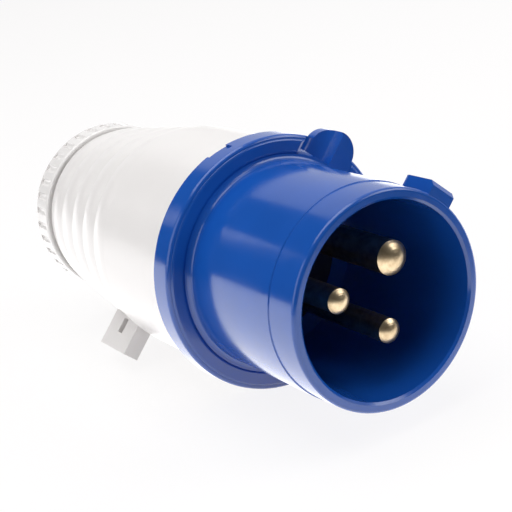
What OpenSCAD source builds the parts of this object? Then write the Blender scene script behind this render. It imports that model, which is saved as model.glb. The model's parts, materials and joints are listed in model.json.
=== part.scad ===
// Industrial pin and sleeve plug, two poles and earth.
// The plug's axis is X: the shroud's mouth is at x = 0, the pins point along +X and the cord leaves at -X.
// Every piece is drawn with the key upwards, and the whole plug is then rolled to the way it lies.

/* [Shroud] */
// Outside diameter of the shroud round the pins
shroud_d = 44; // [42:0.5:47]
// Thickness of the shroud's wall
shroud_wall = 2.4; // [2:0.1:3]
// Depth from the mouth to the floor that the pins stand on
shroud_depth = 40; // [39:0.5:46]
// Length of the slimmer lead-in band at the mouth
lead_len = 8.2; // [4:0.1:12]
// How much slimmer the lead-in band is, on the radius
lead_step = 0.18; // [0.1:0.02:0.4]
// Width of the polarising key
key_w = 6; // [4:0.5:8]
// Height of the key above the shroud
key_h = 2.3; // [1.5:0.1:3]
// Length of the key along the shroud
key_len = 10.5; // [8:0.5:14]

/* [Flange] */
// Diameter of the flange
flange_d = 54.8; // [53:0.2:58]
// Thickness of the flange
flange_t = 6; // [5:0.5:8]
// Distance from the mouth to the flange's front
flange_at = 36.8; // [34:0.2:38]
// Depth of the gutter round the flange's front face
gutter_depth = 1.5; // [0.8:0.1:2.2]
// Distance from the axis to the tip of the lid lug
lid_lug_reach = 31; // [30:0.2:33]
// Width of the lid lug
lid_lug_w = 9.6; // [8:0.2:12]

/* [Contacts] */
// Diameter of the earth pin
earth_pin_d = 7; // [6:0.1:7.4]
// Diameter of the line and neutral pins
line_pin_d = 5; // [4:0.1:5.4]
// Diameter of the circle that the pins stand on
pin_circle_d = 16.6; // [16:0.1:18]
// Length of the pins above the floor
pin_len = 36.2; // [33:0.2:38]
// Thickness of every pin inside the carrier
pin_root_d = 7.8; // [7.6:0.1:8.2]
// Outside diameter of every pin's terminal barrel
pin_barrel_d = 8.4; // [8.2:0.1:9]
// Length of the terminal barrels behind the retainer
barrel_len = 11; // [10:0.5:14]
// Bore for the wire in each barrel
wire_d = 4; // [3:0.1:4.4]
// Diameter of the terminal screws
terminal_screw_d = 3.2; // [2.6:0.1:3.4]

/* [Carrier] */
// Thickness of the ledge in the shell that the carrier is screwed to
ledge_t = 4; // [3.5:0.1:5]
// Thickness of the contact carrier behind the ledge
carrier_t = 6; // [5:0.5:8]
// Thickness of the pin retainer's plate
retainer_t = 3; // [2.5:0.1:4]
// Diameter of the carrier screws
carrier_screw_d = 3; // [2.5:0.1:3.2]

/* [Handle] */
// Step from the flange's edge in to the handle's outside, on the radius
handle_step = 1.6; // [1:0.1:2.4]
// Thickness of the handle's wall
handle_wall = 2.6; // [2.2:0.1:3]
// Length of the straight front of the handle
front_len = 27; // [24:0.5:32]
// Number of rounded grip rings on the tapered part
grip_rings = 5; // [3:1:7]
// Length of one grip ring
grip_pitch = 7.8; // [7:0.1:9]
// Depth of the grooves between the grip rings
grip_depth = 0.45; // [0.2:0.05:0.8]
// Outside diameter at the rear of the grip rings
handle_rear_d = 41.4; // [40:0.2:44]
// Distance from the axis to the tip of the handle's lug
lug_reach = 32.4; // [30:0.2:36]
// Length of the lug along the handle
lug_len = 12; // [10:0.5:14]
// Thickness of the lug
lug_t = 4; // [3:0.1:5]
// Distance from the flange to the middle of the lug
lug_at = 37.2; // [34:0.2:46]

/* [Cord clamp] */
// Angle of the clamp's saddle round the axis, counted from the key
clamp_angle = 120; // [0:120:240]
// Diameter of the cord that the clamp and the seal are made for
cord_d = 10.4; // [8:0.1:11]
// Length of the clamp along the cord
clamp_len = 9; // [8:0.5:11]
// Gap between the saddle and the jaw
clamp_gap = 1.6; // [1:0.1:2.4]
// Diameter of the cord clamp's screws
clamp_screw_d = 3.4; // [3:0.1:3.6]
// Distance between the cord clamp's screws
clamp_screw_span = 20; // [19.4:0.2:20.6]

/* [Gland] */
// Outside diameter of the gland nut
nut_d = 42; // [41:0.2:44]
// Length of the gland nut
nut_len = 7.4; // [7:0.1:10]
// Diameter over the thread of the neck
neck_d = 36.8; // [35:0.1:37.4]
// Depth of the neck's thread
thread_depth = 0.6; // [0.4:0.1:0.9]
// Diameter of the seal's pocket in the neck
seal_d = 28; // [26:0.2:30]
// Length of the rubber seal
seal_len = 10.4; // [8:0.2:12]
// Thickness of the thrust washer
washer_t = 1.5; // [1:0.1:2]
// Diameter of the cord hole in the nut
nut_hole_d = 15; // [13:0.5:18]
// Number of grip notches round the nut
nut_notches = 36; // [24:2:48]

/* [Lie] */
// How far the plug has rolled over on its side, in degrees
roll = 44; // [0:1:60]

/* [Hidden] */

$fn = 96;
eps = 0.01;          // cuts run this far past a face
far = 60;            // cuts and blanks that only have to be long enough
slip = 0.1;          // gap between a plastic piece and the one it slides into
snug = 0.05;         // gap between a screw or pin and its hole
clear = 0.4;         // gap round a screw that passes through a piece
colour_blue = [0.05, 0.22, 0.62];
colour_white = [0.93, 0.92, 0.90];
colour_black = [0.10, 0.10, 0.12];
colour_brass = [0.78, 0.70, 0.50];
colour_steel = [0.70, 0.71, 0.72];
colour_rubber = [0.12, 0.12, 0.12];

// Stations along the axis, from the mouth to the rear
x_floor = -shroud_depth;
x_flange = -flange_at;
x_joint = x_flange - flange_t;             // where the handle meets the flange
x_seat = x_floor - ledge_t;                // rear of the ledge, where the carrier seats
x_carrier = x_seat - carrier_t;            // rear of the carrier
x_retainer = x_carrier - retainer_t;       // rear of the retainer's plate
x_spigot = x_retainer - 2.8;               // rear end of the shell's spigot
spigot_len = x_joint - x_spigot;
x_barrel = x_retainer - barrel_len;        // rear end of the terminal barrels
x_clamp = x_barrel - 3;                    // front of the cord clamp
x_grip = x_joint - front_len;       // start of the grip rings
x_grip_end = x_grip - grip_rings * grip_pitch;
x_nut = x_grip_end - 1.8;                  // front edge of the gland nut
nut_floor_t = 2;
x_end = x_nut - nut_len;                   // rear face of the nut
x_nut_floor = x_end + nut_floor_t;
x_washer = x_nut_floor + slip;             // rear face of the thrust washer
x_seal = x_washer + washer_t + slip;       // rear face of the seal
x_gland = x_seal + seal_len;               // floor of the seal's pocket

// Radii
r_shroud = shroud_d / 2;
r_bore = r_shroud - shroud_wall;
r_flange = flange_d / 2;
r_handle = r_flange - handle_step;
r_handle_in = r_handle - handle_wall;
r_spigot = r_handle_in - slip;
spigot_wall = 2.5;
r_pocket = r_spigot - spigot_wall;
r_carrier = r_pocket - slip;
r_rear = handle_rear_d / 2;
r_neck = neck_d / 2;
r_core = r_neck - thread_depth;            // neck under its thread
r_seal = seal_d / 2;
r_nut = nut_d / 2;
r_pins = pin_circle_d / 2;

// Contacts: angle round the axis from the key, and pin diameter
EARTH = [0, earth_pin_d];
LINE = [120, line_pin_d];
NEUTRAL = [240, line_pin_d];
r_root = pin_root_d / 2;
r_barrel = pin_barrel_d / 2;
r_collar = r_barrel + 0.9;                 // the collar sits in the back of the carrier
collar_t = 2;
floor_skin = 1.5;                          // the thicker root starts this far under the floor
land = 0.3;                                // up to there the pin is this much thicker than its shank
x_terminal = x_retainer - barrel_len * 0.55;

// Heads of the screws: diameter and height
carrier_head = [5.6, 2];
terminal_head = [6, 2];
clamp_head = [6.4, 2.2];

// The carrier screws stand either side of the clamp, in the ledge round the shell's inner opening
carrier_screw_angles = [clamp_angle - 60, clamp_angle + 60];
carrier_screw_at = r_carrier - carrier_head[0] / 2 - slip;
r_ledge = carrier_screw_at - 2.1;
barrier_t = 1.6;                           // walls between the terminals
barrier_reach = 12;

// Bayonet that holds the handle on the shell
bayonet_angles = [90, 210, 330];
bayonet_w = 12;                            // degrees
bayonet_h = 1.1;
bayonet_x = [x_joint - 6.4, x_joint - 9.2];
bayonet_slot = 3.2;                        // width of the track that the bayonet lug turns in
gasket_t = 1.4;
gasket_w = 1.8;

// Cord clamp, across the plug
arm_t = 2.8;
arm_y = clamp_screw_span / 2 + clamp_head[0] / 2 + 1;  // inner face of each arm
arm_z = [-2.5, 3.5];
jaw_low = -cord_d / 2 - 2.9;
saddle_top = cord_d / 2 + 4.3;
saddle_y = arm_y - 0.4;
clamp_nut = [6, 2.6];                      // width across flats and thickness

// Points of an arc about c, from angle a to angle b
function arc(c, r, a, b, n = 8) =
    [for (i = [0:n]) let(t = a + (b - a) * i / n) c + r * [cos(t), sin(t)]];

// A solid of revolution about the plug's axis, from points [radius, x]
module turned(points, angle = 360) {
    rotate([0, 90, 0]) rotate_extrude(angle = angle) polygon(points);
}

// A ring about the axis between two radii and two stations
module ring(r_in, r_out, x_a, x_b) {
    turned([[r_in, x_a], [r_out, x_a], [r_out, x_b], [r_in, x_b]]);
}

// A rod along the axis
module rod(r, x_a, x_b) {
    translate([min(x_a, x_b), 0, 0]) rotate([0, 90, 0]) cylinder(r = r, h = abs(x_b - x_a));
}

// Puts a piece at an angle round the axis, counted from the key
module at_clock(angle) {
    rotate([angle, 0, 0]) children();
}

// Rolls a finished piece to the way the plug lies
module lie() {
    rotate([-roll, 0, 0]) children();
}

// ---------------------------------------------------------------- front shell

rim_round = 0.8;
flange_round = 0.8;
edge_round = 0.5;
root_fillet = 1.2;

// Blue moulding: the shroud, the flange and the spigot that the handle slides over
module shell_body() {
    r_lead = r_shroud - lead_step;
    face_r = r_shroud + root_fillet;
    turned(concat(
        [[r_bore + 0.5, 0]],
        arc([r_lead - rim_round, -rim_round], rim_round, 90, 0),
        [[r_lead, -lead_len + lead_step], [r_shroud, -lead_len]],
        arc([face_r, x_flange + root_fillet], root_fillet, 180, 270, 5),
        arc([r_flange - flange_round, x_flange - flange_round], flange_round, 90, 0, 6),
        arc([r_flange - edge_round, x_joint + edge_round], edge_round, 0, -90, 4),
        [[r_spigot, x_joint], [r_spigot, x_spigot + 1], [r_spigot - 0.6, x_spigot],
         [r_pocket, x_spigot], [r_pocket, x_seat], [r_ledge, x_seat], [r_ledge, x_floor],
         [r_bore, x_floor], [r_bore, -0.5]]));
}

// Shallow gutter round the flange's front face, between the root and the edge
module gutter() {
    r_a = r_shroud + root_fillet + 0.2;
    r_b = r_flange - flange_round - 0.1;
    half = (r_b - r_a) / 2;
    depth = min(gutter_depth, 0.9 * half);
    r_cut = (half * half + depth * depth) / (2 * depth);
    sweep = asin(half / r_cut);
    turned(arc([(r_a + r_b) / 2, x_flange + r_cut - depth], r_cut, 270 - sweep, 270 + sweep));
}

// Lug that the socket's sprung lid hooks over; one half of it is scooped out
module lid_lug() {
    r_tip = lid_lug_w / 2;
    z_tip = lid_lug_reach - r_tip;
    z_foot = r_shroud + edge_round;
    difference() {
        union() {
            translate([x_joint, 0, z_tip]) rotate([0, 90, 0]) {
                cylinder(r = r_tip, h = flange_t - edge_round);
                cylinder(r = r_tip - edge_round, h = flange_t);
            }
            translate([x_joint, -r_tip, z_foot]) cube([flange_t, lid_lug_w, z_tip - z_foot]);
        }
        lug_scoop();
    }
}

// The scoop of the lid lug runs on into the flange
module lug_scoop() {
    r_tip = lid_lug_w / 2;
    translate([x_flange + 0.6, -r_tip, r_shroud + root_fillet]) cylinder(r = r_tip - 0.6, h = far);
}

// Key that lets the plug into the right socket only: a rounded rear end and a slanting front corner
module key() {
    r_end = key_w / 2;
    top = r_shroud + key_h;
    x_round = -key_len + r_end;
    front = -0.15;
    bevel = 0.9;
    difference() {
        translate([0, 0, r_bore + 0.6]) {
            translate([x_round, 0, 0]) cylinder(r = r_end, h = top - r_bore - 0.6);
            translate([x_round, -r_end, 0]) cube([front - x_round, key_w, top - r_bore - 0.6]);
        }
        translate([front, -key_w, top - bevel]) rotate([0, -50, 0]) cube([2 * key_w, 2 * key_w, 2 * key_w]);
    }
}

// Shallow notch in the back edge of the flange
module flange_notch() {
    width = 5;
    at_clock(59) intersection() {
        ring(r_flange - notch_depth, r_flange + 1, x_joint - eps, x_joint + flange_t / 2);
        translate([x_joint - flange_t, -width / 2, 0]) cube([2 * flange_t, width, far]);
    }
}
notch_depth = 0.55;

module bayonet_lug(angle) {
    at_clock(angle) intersection() {
        ring(r_spigot - 0.5, r_spigot + bayonet_h, bayonet_x[0], bayonet_x[1]);
        translate([x_spigot, -r_spigot * sin(bayonet_w / 2), 0])
            cube([spigot_len, 2 * r_spigot * sin(bayonet_w / 2), far]);
    }
}

module front_shell() {
    color(colour_blue) lie() difference() {
        union() {
            difference() {
                shell_body();
                difference() {
                    gutter();
                    translate([x_joint, 0, 0]) cube([flange_t + 1, lid_lug_w / 2, 2 * r_flange]);
                }
                lug_scoop();
                flange_notch();
            }
            lid_lug();
            key();
            for (a = bayonet_angles) bayonet_lug(a);
        }
        carrier_screw_holes(carrier_screw_d / 2 + snug, x_seat - eps, x_floor - 0.8);
    }
}

// Holes for the two carrier screws, between two stations
module carrier_screw_holes(r, x_a, x_b) {
    for (a = carrier_screw_angles) at_clock(a) translate([0, 0, carrier_screw_at]) rod(r, x_a, x_b);
}

// ------------------------------------------------------------ contact carrier

// Insulating floor that the pins stand in; each pin's thicker root and collar drop in from behind
module contact_carrier() {
    color(colour_black) lie() difference() {
        union() {
            rod(r_ledge - slip, x_floor, x_seat);
            rod(r_carrier, x_seat, x_carrier);
        }
        for (c = [EARTH, LINE, NEUTRAL]) at_clock(c[0]) translate([0, 0, r_pins]) {
            rod(c[1] / 2 + land + snug, x_floor + eps, x_floor - floor_skin - eps);
            rod(r_root + snug, x_floor - floor_skin, x_carrier - eps);
            rod(r_collar + snug, x_carrier + collar_t, x_carrier - eps);
        }
        carrier_screw_holes(carrier_screw_d / 2 + clear, x_seat + eps, x_carrier - eps);
    }
}

// --------------------------------------------------------------- pin retainer

// Plate behind the pins' collars, with barriers between the terminals and the fixed jaw of the cord clamp
module pin_retainer() {
    post_d = 4.4;
    color(colour_white) lie() difference() {
        union() {
            rod(r_carrier, x_carrier, x_retainer);
            for (a = [60, 180, 300]) at_clock(a) barrier();
            rod(post_d / 2, x_retainer, x_barrel);
            at_clock(clamp_angle) {
                for (side = [-1, 1]) clamp_arm(side);
                translate([x_clamp - clamp_len, -arm_y - arm_t, jaw_low])
                    cube([clamp_len, 2 * (arm_y + arm_t), -clamp_gap / 2 - jaw_low]);
            }
        }
        for (c = [EARTH, LINE, NEUTRAL]) at_clock(c[0]) translate([0, 0, r_pins])
            rod(r_barrel + slip, x_carrier + eps, x_retainer - eps);
        carrier_screw_holes(carrier_screw_d / 2 + clear, x_carrier + eps, x_retainer - eps);
        rod(cord_d / 2, x_clamp + eps, x_clamp - clamp_len - eps);
        at_clock(clamp_angle) for (side = [-1, 1]) at_clamp_screw(side, jaw_low - eps) {
            cylinder(r = clamp_screw_d / 2 + snug, h = cord_d);
            translate([-clamp_nut[0] / 2 - slip, -clamp_nut[0] / 2 - slip, 0])
                cube([clamp_nut[0] + 2 * slip, clamp_nut[0] + 2 * slip, clamp_nut[1] + slip]);
        }
    }
}

module barrier() {
    translate([x_barrel, -barrier_t / 2, 0]) cube([x_retainer - x_barrel, barrier_t, barrier_reach]);
}

module clamp_arm(side) {
    translate([x_clamp - clamp_len, side > 0 ? arm_y : -arm_y - arm_t, arm_z[0]])
        cube([x_retainer - x_clamp + clamp_len, arm_t, arm_z[1] - arm_z[0]]);
}

// Puts a piece on the axis of one of the clamp's two screws, at a height across the plug
module at_clamp_screw(side, z) {
    translate([x_clamp - clamp_len / 2, side * clamp_screw_span / 2, z]) children();
}

// ------------------------------------------------------------------- contacts

// A turned pin: domed tip, shank, land, root, collar and terminal barrel with its wire bore and screw hole
module contact(c) {
    r = c[1] / 2;
    dome = 0.42 * r;
    r_dome = (r * r + dome * dome) / (2 * dome);
    sweep = asin(r / r_dome);
    x_tip = x_floor + pin_len;
    x_root = x_floor - floor_skin;
    chamfer = 0.5;
    bore_end = 1;
    at_clock(c[0]) translate([0, 0, r_pins]) difference() {
        turned(concat(
            arc([0, x_tip - r_dome], r_dome, 90, 90 - sweep, 6),
            [[r, x_floor], [r + land, x_floor], [r + land, x_root],
             [r_root, x_root], [r_root, x_carrier + collar_t],
             [r_collar, x_carrier + collar_t], [r_collar, x_carrier],
             [r_barrel, x_carrier], [r_barrel, x_barrel + chamfer],
             [r_barrel - chamfer, x_barrel], [0, x_barrel]]));
        rod(wire_d / 2, x_barrel - eps, x_retainer - bore_end);
        translate([x_terminal, 0, 0]) cylinder(r = terminal_screw_d / 2 + snug, h = far);
    }
}

module earth_pin() { color(colour_brass) lie() contact(EARTH); }
module line_pin() { color(colour_brass) lie() contact(LINE); }
module neutral_pin() { color(colour_brass) lie() contact(NEUTRAL); }

// A screw along +Z with its head's underside at z = 0, and a straight slot in the head
module slotted_screw(d, len, head) {
    bevel = 0.4;
    slot = 1;
    difference() {
        union() {
            translate([0, 0, -len]) cylinder(r = d / 2, h = len);
            cylinder(r = head[0] / 2, h = head[1] - bevel);
            translate([0, 0, head[1] - bevel]) cylinder(r1 = head[0] / 2, r2 = head[0] / 2 - bevel, h = bevel);
        }
        translate([-head[0], -slot / 2, head[1] * 0.45]) cube([2 * head[0], slot, head[1]]);
    }
}

// Terminal screw, standing outwards on its barrel, its point in the wire bore
module terminal_screw(c) {
    point = 0.9;
    at_clock(c[0]) translate([x_terminal, 0, r_pins + r_barrel])
        slotted_screw(terminal_screw_d, r_barrel - wire_d / 2 + point, terminal_head);
}

module earth_terminal_screw() { color(colour_steel) lie() terminal_screw(EARTH); }
module line_terminal_screw() { color(colour_steel) lie() terminal_screw(LINE); }
module neutral_terminal_screw() { color(colour_steel) lie() terminal_screw(NEUTRAL); }

// Screw through the retainer and the carrier into the shell's ledge
module carrier_screw(angle) {
    color(colour_steel) lie() at_clock(angle)
        translate([x_retainer, 0, carrier_screw_at]) rotate([0, -90, 0])
            slotted_screw(carrier_screw_d, retainer_t + carrier_t + ledge_t - 1.2, carrier_head);
}

module carrier_screw_left() { carrier_screw(carrier_screw_angles[1]); }
module carrier_screw_right() { carrier_screw(carrier_screw_angles[0]); }

// ----------------------------------------------------------------- cord clamp

// Steel saddle that the two clamp screws draw on to the cord
module cord_saddle() {
    color(colour_steel) lie() at_clock(clamp_angle) difference() {
        translate([x_clamp - clamp_len, -saddle_y, clamp_gap / 2])
            cube([clamp_len, 2 * saddle_y, saddle_top - clamp_gap / 2]);
        rod(cord_d / 2, x_clamp + eps, x_clamp - clamp_len - eps);
        for (side = [-1, 1]) at_clamp_screw(side, 0) cylinder(r = clamp_screw_d / 2 + 0.25, h = far);
    }
}

module cord_screw(side) {
    color(colour_steel) lie() at_clock(clamp_angle) at_clamp_screw(side, saddle_top)
        slotted_screw(clamp_screw_d, saddle_top - jaw_low - 0.4, clamp_head);
}

// Square nut held in the underside of the jaw
module cord_nut(side) {
    color(colour_steel) lie() at_clock(clamp_angle) at_clamp_screw(side, jaw_low) difference() {
        translate([-clamp_nut[0] / 2, -clamp_nut[0] / 2, 0]) cube([clamp_nut[0], clamp_nut[0], clamp_nut[1]]);
        translate([0, 0, -eps]) cylinder(r = clamp_screw_d / 2 + snug, h = clamp_nut[1] + 2 * eps);
    }
}

module cord_screw_left() { cord_screw(-1); }
module cord_screw_right() { cord_screw(1); }
module cord_nut_left() { cord_nut(-1); }
module cord_nut_right() { cord_nut(1); }

// --------------------------------------------------------------------- handle

// Flat rubber ring in the handle's mouth, against the flange
module handle_seal() {
    color(colour_rubber) lie()
        ring(r_spigot + slip, r_handle_in + gasket_w, x_joint - gasket_t + snug, x_joint - snug);
}

// One rounded grip ring, as points of the handle's outline from its front to its rear
function ring_points(i) = [for (k = [0:6])
    let(t = k / 6, x = x_grip - (i + t) * grip_pitch,
        taper = r_handle - shoulder + (r_rear - r_handle + shoulder) * (i + t) / grip_rings)
    [taper - grip_depth * (1 - sin(180 * t)), x]];
shoulder = 0.35;                           // step from the straight front down to the first grip ring

// White handle: a straight front, a tapered grip with rounded rings, the neck for the nut and the lug
module handle_body() {
    lip = r_handle_in + gasket_w + slip;
    draft = 0.2;
    neck_gap = 0.9;
    r_throat = cord_d / 2 + 3;
    turned(concat(
        [[lip, x_joint]],
        arc([r_handle - edge_round, x_joint - edge_round], edge_round, 90, 0, 4),
        [[r_handle - draft, x_grip + 0.6], [r_handle - shoulder - 0.15, x_grip + 0.2]],
        [for (i = [0:grip_rings - 1]) each ring_points(i)],
        [[r_rear - 0.6, x_nut + neck_gap], [r_core, x_nut + neck_gap], [r_core, x_nut_floor + slip],
         [r_seal, x_nut_floor + slip], [r_seal, x_gland], [r_throat, x_gland],
         [r_throat, x_gland + 2], [r_rear - handle_wall, x_gland + 4],
         [r_handle_in, x_grip], [r_handle_in, x_joint - gasket_t], [lip, x_joint - gasket_t]]));
}

// Lug under the handle, square to it, with an eye near its foot
module handle_lug() {
    x_mid = x_joint - lug_at;
    eye = [2, 3.6];
    eye_tip = 4;
    difference() {
        translate([x_mid - lug_len / 2, -lug_t / 2, -lug_reach])
            cube([lug_len, lug_t, lug_reach - r_rear]);
        translate([x_mid - eye[0] / 2, -lug_t, -lug_reach + eye_tip]) cube([eye[0], 2 * lug_t, eye[1]]);
    }
}

// L-shaped track in the handle's wall that each bayonet lug slides into
module bayonet_track(angle) {
    half = r_handle * sin(bayonet_w / 2) + 0.5;
    at_clock(angle) intersection() {
        ring(r_handle_in - 0.5, r_handle_in + bayonet_h + 0.1, x_joint + eps, bayonet_x[1] - 0.2);
        union() {
            translate([bayonet_x[1] - 0.2, -half, 0]) cube([bayonet_slot, 3 * half, far]);
            translate([bayonet_x[1] - 0.2, half, 0]) cube([far, 2 * half, far]);
        }
    }
}

module handle() {
    color(colour_white) lie() difference() {
        union() {
            handle_body();
            difference() {
                handle_lug();
                rod(r_rear - 1, x_joint - lug_at - lug_len, x_joint - lug_at + lug_len);
            }
        }
        for (a = bayonet_angles) bayonet_track(a);
    }
}

// ---------------------------------------------------------------------- gland

// Rubber seal round the cord, tapered at its front
module gland_seal() {
    color(colour_rubber) lie()
        turned([[cord_d / 2, x_gland - snug], [r_seal - 1.5, x_gland - snug], [r_seal - slip, x_gland - 1.6],
                [r_seal - slip, x_seal], [cord_d / 2 + 1.2, x_seal], [cord_d / 2, x_seal + 1.2]]);
}

module thrust_washer() {
    color(colour_steel) lie() ring(nut_hole_d / 2, r_seal - slip, x_washer + washer_t, x_washer);
}

// Nut that screws on to the neck; its bore is clear of the neck by the thread's depth and a little more
module gland_nut() {
    r_nut_bore = r_neck + slip;
    rear_round = 1.4;
    front_round = 0.6;
    notch_r = 1;
    notch_depth = 0.45;
    color(colour_white) lie() difference() {
        turned(concat(
            [[r_nut_bore, x_nut]],
            arc([r_nut - front_round, x_nut - front_round], front_round, 90, 0, 4),
            arc([r_nut - rear_round, x_end + rear_round], rear_round, 0, -90, 6),
            [[nut_hole_d / 2 + 0.5, x_end], [nut_hole_d / 2, x_end + 0.5], [nut_hole_d / 2, x_nut_floor],
             [r_nut_bore, x_nut_floor]]));
        for (i = [0:nut_notches - 1]) at_clock(360 * i / nut_notches)
            translate([0, 0, r_nut + notch_r - notch_depth]) rod(notch_r, x_nut - 1.2, x_end + 1.6);
    }
}

front_shell();
contact_carrier();
pin_retainer();
earth_pin();
line_pin();
neutral_pin();
earth_terminal_screw();
line_terminal_screw();
neutral_terminal_screw();
carrier_screw_left();
carrier_screw_right();
cord_saddle();
cord_screw_left();
cord_screw_right();
cord_nut_left();
cord_nut_right();
handle_seal();
handle();
gland_seal();
thrust_washer();
gland_nut();
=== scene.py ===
"""Industrial pin and sleeve plug: each piece's finish, the stage and the camera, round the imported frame."""
import json
import math

import bpy
import numpy as np
from mathutils import Matrix, Vector


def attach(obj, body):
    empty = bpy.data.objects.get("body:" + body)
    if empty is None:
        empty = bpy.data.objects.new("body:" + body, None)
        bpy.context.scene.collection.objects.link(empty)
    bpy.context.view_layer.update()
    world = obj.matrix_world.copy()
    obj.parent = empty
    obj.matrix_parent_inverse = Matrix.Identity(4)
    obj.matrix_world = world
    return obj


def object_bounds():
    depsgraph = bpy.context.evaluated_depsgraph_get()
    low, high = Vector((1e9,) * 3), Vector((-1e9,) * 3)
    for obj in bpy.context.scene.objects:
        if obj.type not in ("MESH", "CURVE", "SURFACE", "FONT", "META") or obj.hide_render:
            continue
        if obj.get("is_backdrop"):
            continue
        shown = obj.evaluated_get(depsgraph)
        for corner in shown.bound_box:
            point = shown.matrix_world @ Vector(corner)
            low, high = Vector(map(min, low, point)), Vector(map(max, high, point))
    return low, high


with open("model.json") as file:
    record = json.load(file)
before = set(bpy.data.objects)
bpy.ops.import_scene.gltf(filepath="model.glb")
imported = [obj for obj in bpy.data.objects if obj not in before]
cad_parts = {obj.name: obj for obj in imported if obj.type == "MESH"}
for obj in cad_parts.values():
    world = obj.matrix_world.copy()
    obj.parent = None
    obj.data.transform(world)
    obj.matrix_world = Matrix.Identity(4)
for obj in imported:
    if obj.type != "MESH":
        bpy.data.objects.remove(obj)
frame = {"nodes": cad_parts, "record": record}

cad_low, cad_high = (Vector(corner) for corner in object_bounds())

# ------------------------------------------------------------------ the lie
# The plug lies on its side. Its axis is X; the earth pin stands in line with the key, so its mount tells how
# far the plug has rolled. turn_with_plug takes a point given with the key upwards to where it lies.
mounts = {mount["name"]: mount for mount in frame["record"]["mounts"]}
earth_at = Vector(mounts["earth_pin"]["pos_m"])
roll = math.atan2(earth_at.y, earth_at.z)
turn_with_plug = Matrix.Rotation(-roll, 3, "X")

# ------------------------------------------------------------------- camera
# A long lens looks down into the shroud from the front and one side. Its place is given with the key
# upwards, so that it keeps its view of the plug whichever way the plug lies.
camera_place = Vector((0.1893, -0.1610, -0.0248))
camera_aim = Vector((-0.0247, -0.0150, -0.0025))
camera_up = Vector((-0.1905, -0.4149, 0.8897))
forward = (turn_with_plug @ (camera_aim - camera_place)).normalized()
right = forward.cross(turn_with_plug @ camera_up).normalized()
up = right.cross(forward)
camera_data = bpy.data.cameras.new("camera")
camera_data.sensor_width = 36
camera_data.lens = 93.15
camera = bpy.data.objects.new("camera", camera_data)
camera.matrix_world = Matrix((
    (right.x, up.x, -forward.x, 0), (right.y, up.y, -forward.y, 0), (right.z, up.z, -forward.z, 0),
    (0, 0, 0, 1)))
camera.location = turn_with_plug @ camera_place
scene = bpy.context.scene
scene.collection.objects.link(camera)
scene.camera = camera
scene.view_settings.view_transform = "Standard"


# -------------------------------------------------------------------- paper
# The plug lies on white paper that ends a little in front of its rim. What looks at the paper or mirrors it
# meets mostly an even white; the rest is the paper's own shading, which carries the plug's shadow.
def new_material(name):
    """A material with nodes, its tree, its Principled shader and its output."""
    material = bpy.data.materials.new(name)
    material.use_nodes = True
    tree = material.node_tree
    return material, tree, tree.nodes["Principled BSDF"], tree.nodes["Material Output"]


def node(tree, kind, **values):
    """A new node of that kind. A value named after an input is set on it, or linked to it where the value is
    another node's output; any other value is a property of the node."""
    made = tree.nodes.new(kind)
    for name, value in values.items():
        socket = made.inputs.get(name.replace("_", " "))
        if socket is None:
            setattr(made, name, value)
        elif isinstance(value, bpy.types.NodeSocket):
            tree.links.new(value, socket)
        else:
            socket.default_value = value
    return made


def combine(tree, operation, *terms, use_clamp=False):
    """The result of a Math node on outputs and plain numbers."""
    made = node(tree, "ShaderNodeMath", operation=operation, use_clamp=use_clamp)
    for socket, term in zip(made.inputs, terms):
        if isinstance(term, bpy.types.NodeSocket):
            tree.links.new(term, socket)
        else:
            socket.default_value = term
    return made.outputs[0]


def surface(name, vertices, faces, material, body=None, smooth=True):
    """A mesh object at the origin, of those vertices and faces. It rides on body, or belongs to the
    stage."""
    mesh = bpy.data.meshes.new(name)
    mesh.from_pydata(vertices, [], faces)
    mesh.materials.append(material)
    if smooth:
        mesh.shade_smooth()
    made = bpy.data.objects.new(name, mesh)
    scene.collection.objects.link(made)
    if body:
        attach(made, body)
    else:
        made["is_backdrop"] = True


paper_size, paper_front, paper_gap = 2.0, 0.05, 0.0001
white_seen, white_mirrored = 0.86, 0.62
white_strength, mirrored_gain = 1.02, 2.2
paper_material, tree, shader, output = new_material("paper")
shader.inputs["Base Color"].default_value = (0.92, 0.92, 0.92, 1)
shader.inputs["Roughness"].default_value = 0.6
shader.inputs["Specular IOR Level"].default_value = 0.1
rays = node(tree, "ShaderNodeLightPath").outputs
strength = combine(tree, "MULTIPLY_ADD", rays["Is Glossy Ray"], mirrored_gain, white_strength)
white = node(tree, "ShaderNodeEmission", Color=(1.0, 0.99, 0.99, 1), Strength=strength)
seen = combine(tree, "MULTIPLY", rays["Is Camera Ray"], white_seen)
mirrored = combine(tree, "MULTIPLY", rays["Is Glossy Ray"], white_mirrored)
mix = node(tree, "ShaderNodeMixShader", Fac=combine(tree, "ADD", seen, mirrored))
tree.links.new(shader.outputs[0], mix.inputs[1])
tree.links.new(white.outputs[0], mix.inputs[2])
tree.links.new(mix.outputs[0], output.inputs["Surface"])
corners = ((-paper_size, -paper_size), (paper_front, -paper_size),
           (paper_front, paper_size), (-paper_size, paper_size))
surface("paper", [(x, y, cad_low.z - paper_gap) for x, y in corners], [(0, 1, 2, 3)], paper_material)

# ------------------------------------------------------------------- studio
# The studio is dim round the paper, but for a white backdrop ahead, a white ceiling and a white floor. The
# light that falls on a piece takes only a share of them and comes from the walls too, so that white pieces
# keep their shading on every side. Its directions turn with the plug.
rig_tilt = math.radians(32)
rig_up = turn_with_plug @ Vector((0, -math.sin(rig_tilt), math.cos(rig_tilt)))
rig_ahead = (forward - forward.dot(rig_up) * rig_up).normalized()
rig_left = rig_up.cross(rig_ahead)

world = bpy.data.worlds.new("studio")
scene.world = world
world.use_nodes = True
tree = world.node_tree
background = tree.nodes["Background"]
background.inputs["Color"].default_value = (1, 1, 1, 1)
way = node(tree, "ShaderNodeTexCoord").outputs["Generated"]
rays = node(tree, "ShaderNodeLightPath").outputs


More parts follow.
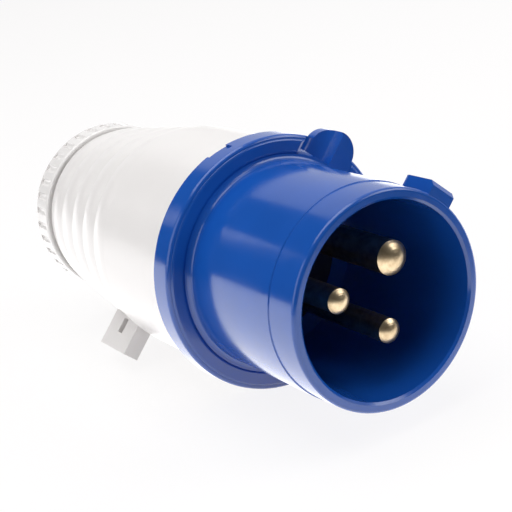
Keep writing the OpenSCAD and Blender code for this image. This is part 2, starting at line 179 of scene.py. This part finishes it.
def along(axis):
    """How far the ray points along an axis: the cosine of the angle between them."""
    dot = node(tree, "ShaderNodeVectorMath", operation="DOT_PRODUCT", Vector=way)
    dot.inputs[1].default_value = axis
    return dot.outputs["Value"]


def ramp(value, edge, levels):
    """A smooth change from the first level to the second, while the value goes from one end of the edge to
    the other."""
    made = node(tree, "ShaderNodeMapRange", interpolation_type="SMOOTHSTEP", Value=value, From_Min=edge[0],
                From_Max=edge[1], To_Min=levels[0], To_Max=levels[1])
    return made.outputs[0]


def headings(low, high):
    """Two headings in degrees to the left of the camera's view, as the edge of a ramp."""
    return math.radians(low), math.radians(high)


backdrop_level, ceiling_level, fallen_share = 0.8, 0.8, 0.30
floor_level, floor_mirrored = 0.5, 2.4
room_ahead, room_behind, wall_level = 0.04, 0.10, 0.22
ceiling_edge, floor_edge = (0.80, 0.92), (-0.26, -0.20)
off_on = (0.0, 1.0)
ray_heading = combine(tree, "ARCTAN2", along(rig_left), along(rig_ahead))
ray_aside = combine(tree, "ABSOLUTE", ray_heading)
ray_height = along(rig_up)
share = ramp(rays["Is Diffuse Ray"], off_on, (1.0, fallen_share))
backdrop = combine(tree, "MULTIPLY", ramp(ray_heading, headings(34, 38), (backdrop_level, 0.0)),
                   ramp(ray_heading, headings(-95, -70), off_on))
backdrop = combine(tree, "MULTIPLY", backdrop, share)
ceiling = combine(tree, "MULTIPLY", ramp(ray_height, ceiling_edge, (0.0, ceiling_level)), share)
floor = combine(tree, "MULTIPLY", ramp(ray_height, floor_edge, (1.0, 0.0)),
                ramp(rays["Is Glossy Ray"], off_on, (floor_level, floor_mirrored)))
walls = combine(tree, "MULTIPLY", ramp(ray_aside, headings(110, 150), (wall_level, 0.0)),
                rays["Is Diffuse Ray"])
room = combine(tree, "ADD", ramp(ray_aside, headings(75, 105), (room_ahead, room_behind)), walls)
brightest = combine(tree, "MAXIMUM", combine(tree, "MAXIMUM", backdrop, ceiling),
                    combine(tree, "MAXIMUM", floor, room))
white_to_camera = node(tree, "ShaderNodeMix", data_type="FLOAT", Factor=rays["Is Camera Ray"],
                       A=brightest, B=1.0)
tree.links.new(white_to_camera.outputs[0], background.inputs["Strength"])


# -------------------------------------------------------------------- lamps
# Four softboxes stand round the plug at one distance: a key to the right of the camera, a wide fill and a
# narrow strip to its left, and a top. Their headings turn to the left from the camera's view.
def softbox(name, heading, height, size, level, distance=0.80):
    """A rectangular lamp at a heading and a height in degrees, turned towards the middle of the plug. Its
    power is its level of brightness times pi times its area."""
    data = bpy.data.lights.new(name, "AREA")
    data.shape = "RECTANGLE"
    data.size, data.size_y = size
    data.energy = level * math.pi * size[0] * size[1]
    turn, rise = math.radians(heading), math.radians(height)
    flat_way = rig_ahead * math.cos(turn) + rig_left * math.sin(turn)
    lamp_way = flat_way * math.cos(rise) + rig_up * math.sin(rise)
    made = bpy.data.objects.new(name, data)
    made.location = (cad_low + cad_high) / 2 + lamp_way * distance
    made.rotation_mode = "QUATERNION"
    made.rotation_quaternion = (-lamp_way).to_track_quat("-Z", "Y")
    scene.collection.objects.link(made)


softbox("key", -104, 40, (0.50, 0.38), 4.2)
softbox("fill", 122, 12, (0.70, 0.60), 1.7)
softbox("strip", 62, 17, (0.06, 0.16), 1.4)
softbox("top", 120, 72, (0.70, 0.70), 2.9)


# --------------------------------------------------------------- blue moulding
# The shroud, flange and key are one glossy polyamide moulding in signal blue. The mould leaves a skin with a
# faint orange peel and small changes of tone.
def value_noise(tree, coordinates, scale, detail, roughness=0.5):
    """Fractal noise of that scale per metre on the given coordinates; its output is from 0 to 1."""
    noise = node(tree, "ShaderNodeTexNoise", Vector=coordinates, Scale=scale, Detail=detail,
                 Roughness=roughness)
    return noise.outputs["Fac"]


def swing(tree, noise):
    """Noise from 0 to 1, most of which lies within 0.2 of a half, stretched so that this becomes -1 to 1."""
    made = node(tree, "ShaderNodeMapRange", Value=noise, From_Min=0.3, From_Max=0.7, To_Min=-1.0, To_Max=1.0)
    return made.outputs[0]


def group_with(name, colours, numbers):
    """An empty shader node group with named colour and number inputs, and outputs for a surface's colour,
    roughness and normal."""
    group = bpy.data.node_groups.new(name, "ShaderNodeTree")
    for kind, defaults in (("Color", colours), ("Float", numbers)):
        for label, default in defaults.items():
            made = group.interface.new_socket(label, in_out="INPUT", socket_type="NodeSocket" + kind)
            made.default_value = default
    for label, kind in (("Colour", "Color"), ("Roughness", "Float"), ("Normal", "Vector")):
        group.interface.new_socket(label, in_out="OUTPUT", socket_type="NodeSocket" + kind)
    return group, group.nodes.new("NodeGroupInput").outputs, group.nodes.new("NodeGroupOutput").inputs


def varied_material(name, group, values):
    """A material whose colour, roughness and normal vary by a group, placed with its own values. Roughness
    that has no spread is set on the shader itself."""
    material, tree, shader, _ = new_material(name)
    skin = node(tree, "ShaderNodeGroup", node_tree=group)
    for label, value in values.items():
        skin.inputs[label].default_value = value
    tree.links.new(skin.outputs["Colour"], shader.inputs["Base Color"])
    tree.links.new(skin.outputs["Normal"], shader.inputs["Normal"])
    if values["Roughness spread"]:
        tree.links.new(skin.outputs["Roughness"], shader.inputs["Roughness"])
    else:
        shader.inputs["Roughness"].default_value = values["Roughness"]
    return material, shader


cloud_scale, smear_scale, peel_height = 70.0, 160.0, 0.0001
moulded_skin, asked, given = group_with(
    "moulded_skin", {"Colour": (0.5, 0.5, 0.5, 1)},
    {"Tone": 0.1, "Roughness": 0.2, "Roughness spread": 0.05, "Peel scale": 900.0, "Peel depth": 0.02})
tree = moulded_skin
place = node(tree, "ShaderNodeTexCoord").outputs["Object"]
clouds = swing(tree, value_noise(tree, place, cloud_scale, 3.0))
tone = combine(tree, "MULTIPLY_ADD", clouds, asked["Tone"], 1.0)
tinted = node(tree, "ShaderNodeHueSaturation", Color=asked["Colour"], Value=tone)
smears = swing(tree, value_noise(tree, place, smear_scale, 5.0, 0.6))
rough = combine(tree, "MULTIPLY_ADD", smears, asked["Roughness spread"], asked["Roughness"], use_clamp=True)
peel = value_noise(tree, place, asked["Peel scale"], 1.0)
relief = node(tree, "ShaderNodeBump", Distance=peel_height, Strength=asked["Peel depth"], Height=peel)
tree.links.new(tinted.outputs[0], given["Colour"])
tree.links.new(rough, given["Roughness"])
tree.links.new(relief.outputs[0], given["Normal"])


def moulded(name, colour, roughness, tone=0.05, spread=0.04, peel_scale=900.0, peel_depth=0.05):
    """Moulded plastic or rubber: its colour, roughness and relief vary by the moulded_skin group."""
    material, shader = varied_material(name, moulded_skin, {
        "Colour": (*colour, 1), "Tone": tone, "Roughness": roughness, "Roughness spread": spread,
        "Peel scale": peel_scale, "Peel depth": peel_depth})
    shader.inputs["IOR"].default_value = 1.52
    return material


def finish_nodes(names, material):
    """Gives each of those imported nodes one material."""
    for name in names:
        slots = frame["nodes"][name].data.materials
        slots.clear()
        slots.append(material)


blue_plastic = moulded("blue_plastic", (0.008, 0.082, 0.40), 0.16, tone=0.06)
finish_nodes(["front_shell"], blue_plastic)

# ---------------------------------------------------------------- flange face
# The front of the flange is one flat face from the root of the shroud to the edge. It is moulded in one with
# the shell, and stops at both sides of the lid lug.
MM = 0.001
face_x, face_proud, face_depth = -36.8 * MM, 0.02 * MM, 1.39 * MM
face_inner, face_outer = 23.38 * MM, 26.52 * MM
lug_right, lug_left = 4.79 * MM, 8.95 * MM


def carried_faces(steps, around, flip=False):
    """The sides and both ends of a closed section of that many points, carried through that many steps; flip
    turns them over."""
    ring = np.arange(around)
    first = np.arange(steps - 1)[:, None] * around + ring
    beside = np.arange(steps - 1)[:, None] * around + np.roll(ring, -1)
    corners = [first, first + around, beside + around, beside]
    ends = [ring, (ring + (steps - 1) * around)[::-1]]
    if flip:
        corners = [corners[0], *corners[:0:-1]]
        ends = [end[::-1] for end in ends]
    sides = np.stack(corners, axis=-1).reshape(-1, 4)
    return [*sides.tolist(), *(end.tolist() for end in ends)]


def flange_ring(steps=240, across=5, behind=12):
    """A closed ring carried round the axis: its section is a flat line from the inner to the outer radius,
    and back along a circle's arc that bulges behind it by its depth. Each end lies on a plane beside the
    lug: at radius r the angle starts at asin(lug_right / r) and ends at a full turn less
    asin(lug_left / r)."""
    half = (face_outer - face_inner) / 2
    arc_radius = (half ** 2 + face_depth ** 2) / (2 * face_depth)
    arc_half = np.arcsin(half / arc_radius)
    back = np.linspace(arc_half, -arc_half, behind)
    front = np.linspace(-half, half, across + 1)[:-1]
    r = (face_inner + face_outer) / 2 + np.concatenate([front, arc_radius * np.sin(back)])
    x = face_x + np.concatenate([0 * front + face_proud, arc_radius * (np.cos(arc_half) - np.cos(back))])
    t = np.linspace(0, 1, steps)[:, None]
    start, end = np.arcsin(lug_right / r), 2 * np.pi - np.arcsin(lug_left / r)
    angle = start + (end - start) * t
    points = np.stack([x + 0 * angle, r * np.sin(angle), r * np.cos(angle)], axis=-1).reshape(-1, 3)
    return points @ np.array(turn_with_plug).T, carried_faces(steps, across + behind)


surface("flange_face", *flange_ring(), blue_plastic, "plug")

# ------------------------------------------------------ carrier and retainer
# The pins sit in a blue-black insulating floor; behind it a pale retainer with barriers keeps the wires
# apart. Both are satin mouldings.
finish_nodes(["contact_carrier"], moulded("carrier_plastic", (0.012, 0.016, 0.045), 0.38, peel_depth=0.12))
finish_nodes(["pin_retainer"], moulded("retainer_plastic", (0.58, 0.58, 0.55), 0.42, peel_depth=0.12))

# --------------------------------------------------------------------- pins
# The pins are turned from brass bar and thinly nickel plated, so that they look like pale brass, and the
# lathe has left fine rings round them.
stain_scale, stain_edge = 420.0, (0.42, 0.68)
ring_scale, ring_height = (9000.0, 60.0, 60.0), 0.00002
turned_metal, asked, given = group_with(
    "turned_metal", {"Colour": (0.8, 0.8, 0.8, 1), "Stain colour": (0.4, 0.3, 0.2, 1)},
    {"Stain": 0.3, "Roughness": 0.25, "Roughness spread": 0.08, "Rings": 0.1})
tree = turned_metal
place = node(tree, "ShaderNodeTexCoord").outputs["Object"]
patches = node(tree, "ShaderNodeMapRange", Value=value_noise(tree, place, stain_scale, 6.0, 0.65),
               From_Min=stain_edge[0], From_Max=stain_edge[1]).outputs[0]
amount = combine(tree, "MULTIPLY", patches, asked["Stain"])
stained = node(tree, "ShaderNodeMix", data_type="RGBA", Factor=amount)
clean_colour, stain_colour = stained.inputs[6:8]
tree.links.new(asked["Colour"], clean_colour)
tree.links.new(asked["Stain colour"], stain_colour)
rough = combine(tree, "MULTIPLY_ADD", patches, asked["Roughness spread"], asked["Roughness"], use_clamp=True)
stretched = node(tree, "ShaderNodeMapping", Vector=place, Scale=ring_scale).outputs[0]
lathe_rings = value_noise(tree, stretched, 1.0, 2.0)
relief = node(tree, "ShaderNodeBump", Distance=ring_height, Strength=asked["Rings"], Height=lathe_rings)
tree.links.new(stained.outputs[2], given["Colour"])
tree.links.new(rough, given["Roughness"])
tree.links.new(relief.outputs[0], given["Normal"])


def metal(name, colour, stain_colour, roughness, stain, rings):
    """Plated metal: its stains, roughness and lathe rings come from the turned_metal group."""
    material, shader = varied_material(name, turned_metal, {
        "Colour": (*colour, 1), "Stain colour": (*stain_colour, 1), "Stain": stain, "Roughness": roughness,
        "Roughness spread": 0.08, "Rings": rings})
    shader.inputs["Metallic"].default_value = 1.0
    return material


nickel_brass = metal("nickel_brass", (0.54, 0.43, 0.28), (0.26, 0.17, 0.09), 0.30, stain=0.6, rings=0.35)
finish_nodes(["earth_pin", "line_pin", "neutral_pin"], nickel_brass)

# ------------------------------------------------------- screws and cord clamp
# Bright zinc-plated steel screws clamp the wires and hold the carrier; two more draw the saddle on to the
# cord, into square nuts that the jaw keeps from turning.
zinc_steel = metal("zinc_steel", (0.66, 0.67, 0.68), (0.40, 0.40, 0.38), 0.30, stain=0.4, rings=0.1)
finish_nodes(["earth_terminal_screw", "line_terminal_screw", "neutral_terminal_screw"], zinc_steel)
finish_nodes(["carrier_screw_left", "carrier_screw_right"], zinc_steel)
finish_nodes(["cord_saddle", "cord_screw_left", "cord_screw_right"], zinc_steel)
finish_nodes(["cord_nut_left", "cord_nut_right"], zinc_steel)

# -------------------------------------------------------------------- seals
# Matt black rubber: a flat ring between the flange and the handle, and a thick sleeve that the gland nut
# squeezes on to the cord through a zinc-plated washer.
seal_rubber = moulded("seal_rubber", (0.022, 0.022, 0.023), 0.62, spread=0.08, peel_scale=1500.0,
                      peel_depth=0.4)
finish_nodes(["handle_seal", "gland_seal"], seal_rubber)
finish_nodes(["thrust_washer"], zinc_steel)

# ------------------------------------------------------------ handle and nut
# The handle and its gland nut are glossy near-white polyamide, a shade warmer than pure white. Their skin is
# even, with a long faint peel.
white_skin = {"tone": 0.012, "spread": 0.0, "peel_scale": 300.0, "peel_depth": 0.08}
white_plastic = moulded("white_plastic", (0.84, 0.815, 0.805), 0.30, **white_skin)
finish_nodes(["handle"], white_plastic)
finish_nodes(["gland_nut"], moulded("nut_plastic", (0.84, 0.82, 0.81), 0.26, **white_skin))

# -------------------------------------------------------------- neck's thread
# The handle ends in a neck with a right-hand thread of 2 mm pitch, on which the gland nut runs. It is
# moulded in one with the handle, and comes to light when the nut is unscrewed.
neck_core = 17.8 * MM
thread_front, thread_pitch, thread_turns = -111.6 * MM, 2.0 * MM, 1.9
thread_height, thread_root, thread_foot, thread_crest = 0.56 * MM, 0.10 * MM, 1.24 * MM, 0.50 * MM
thread_run_in = 0.7


def thread_ridge(steps=300):
    """A ridge carried along a right-handed helix: with t the angle in radians, its middle lies at x = front
    end - pitch t / 2 pi. Its section is a trapezoid from its foot, sunk in the neck by its root, up to its
    crest; its height grows smoothly from nothing over the run-in, in radians, at either end."""
    t = np.linspace(0, 2 * np.pi * thread_turns, steps)[:, None]
    rise = np.clip(np.minimum(t, t[-1] - t) / thread_run_in, 0.0, 1.0)
    rise = rise * rise * (3 - 2 * rise)
    aside = np.array([-thread_foot, -thread_crest, thread_crest, thread_foot]) / 2
    out = np.array([-thread_root, thread_height, thread_height, -thread_root])
    x = thread_front - thread_pitch * t / (2 * np.pi) + aside
    r = neck_core + np.where(out > 0, out * rise, out)
    points = np.stack([x, r * np.cos(t), -r * np.sin(t)], axis=-1).reshape(-1, 3)
    return points, carried_faces(steps, len(aside), flip=True)


surface("neck_thread", *thread_ridge(), white_plastic, "plug", smooth=False)
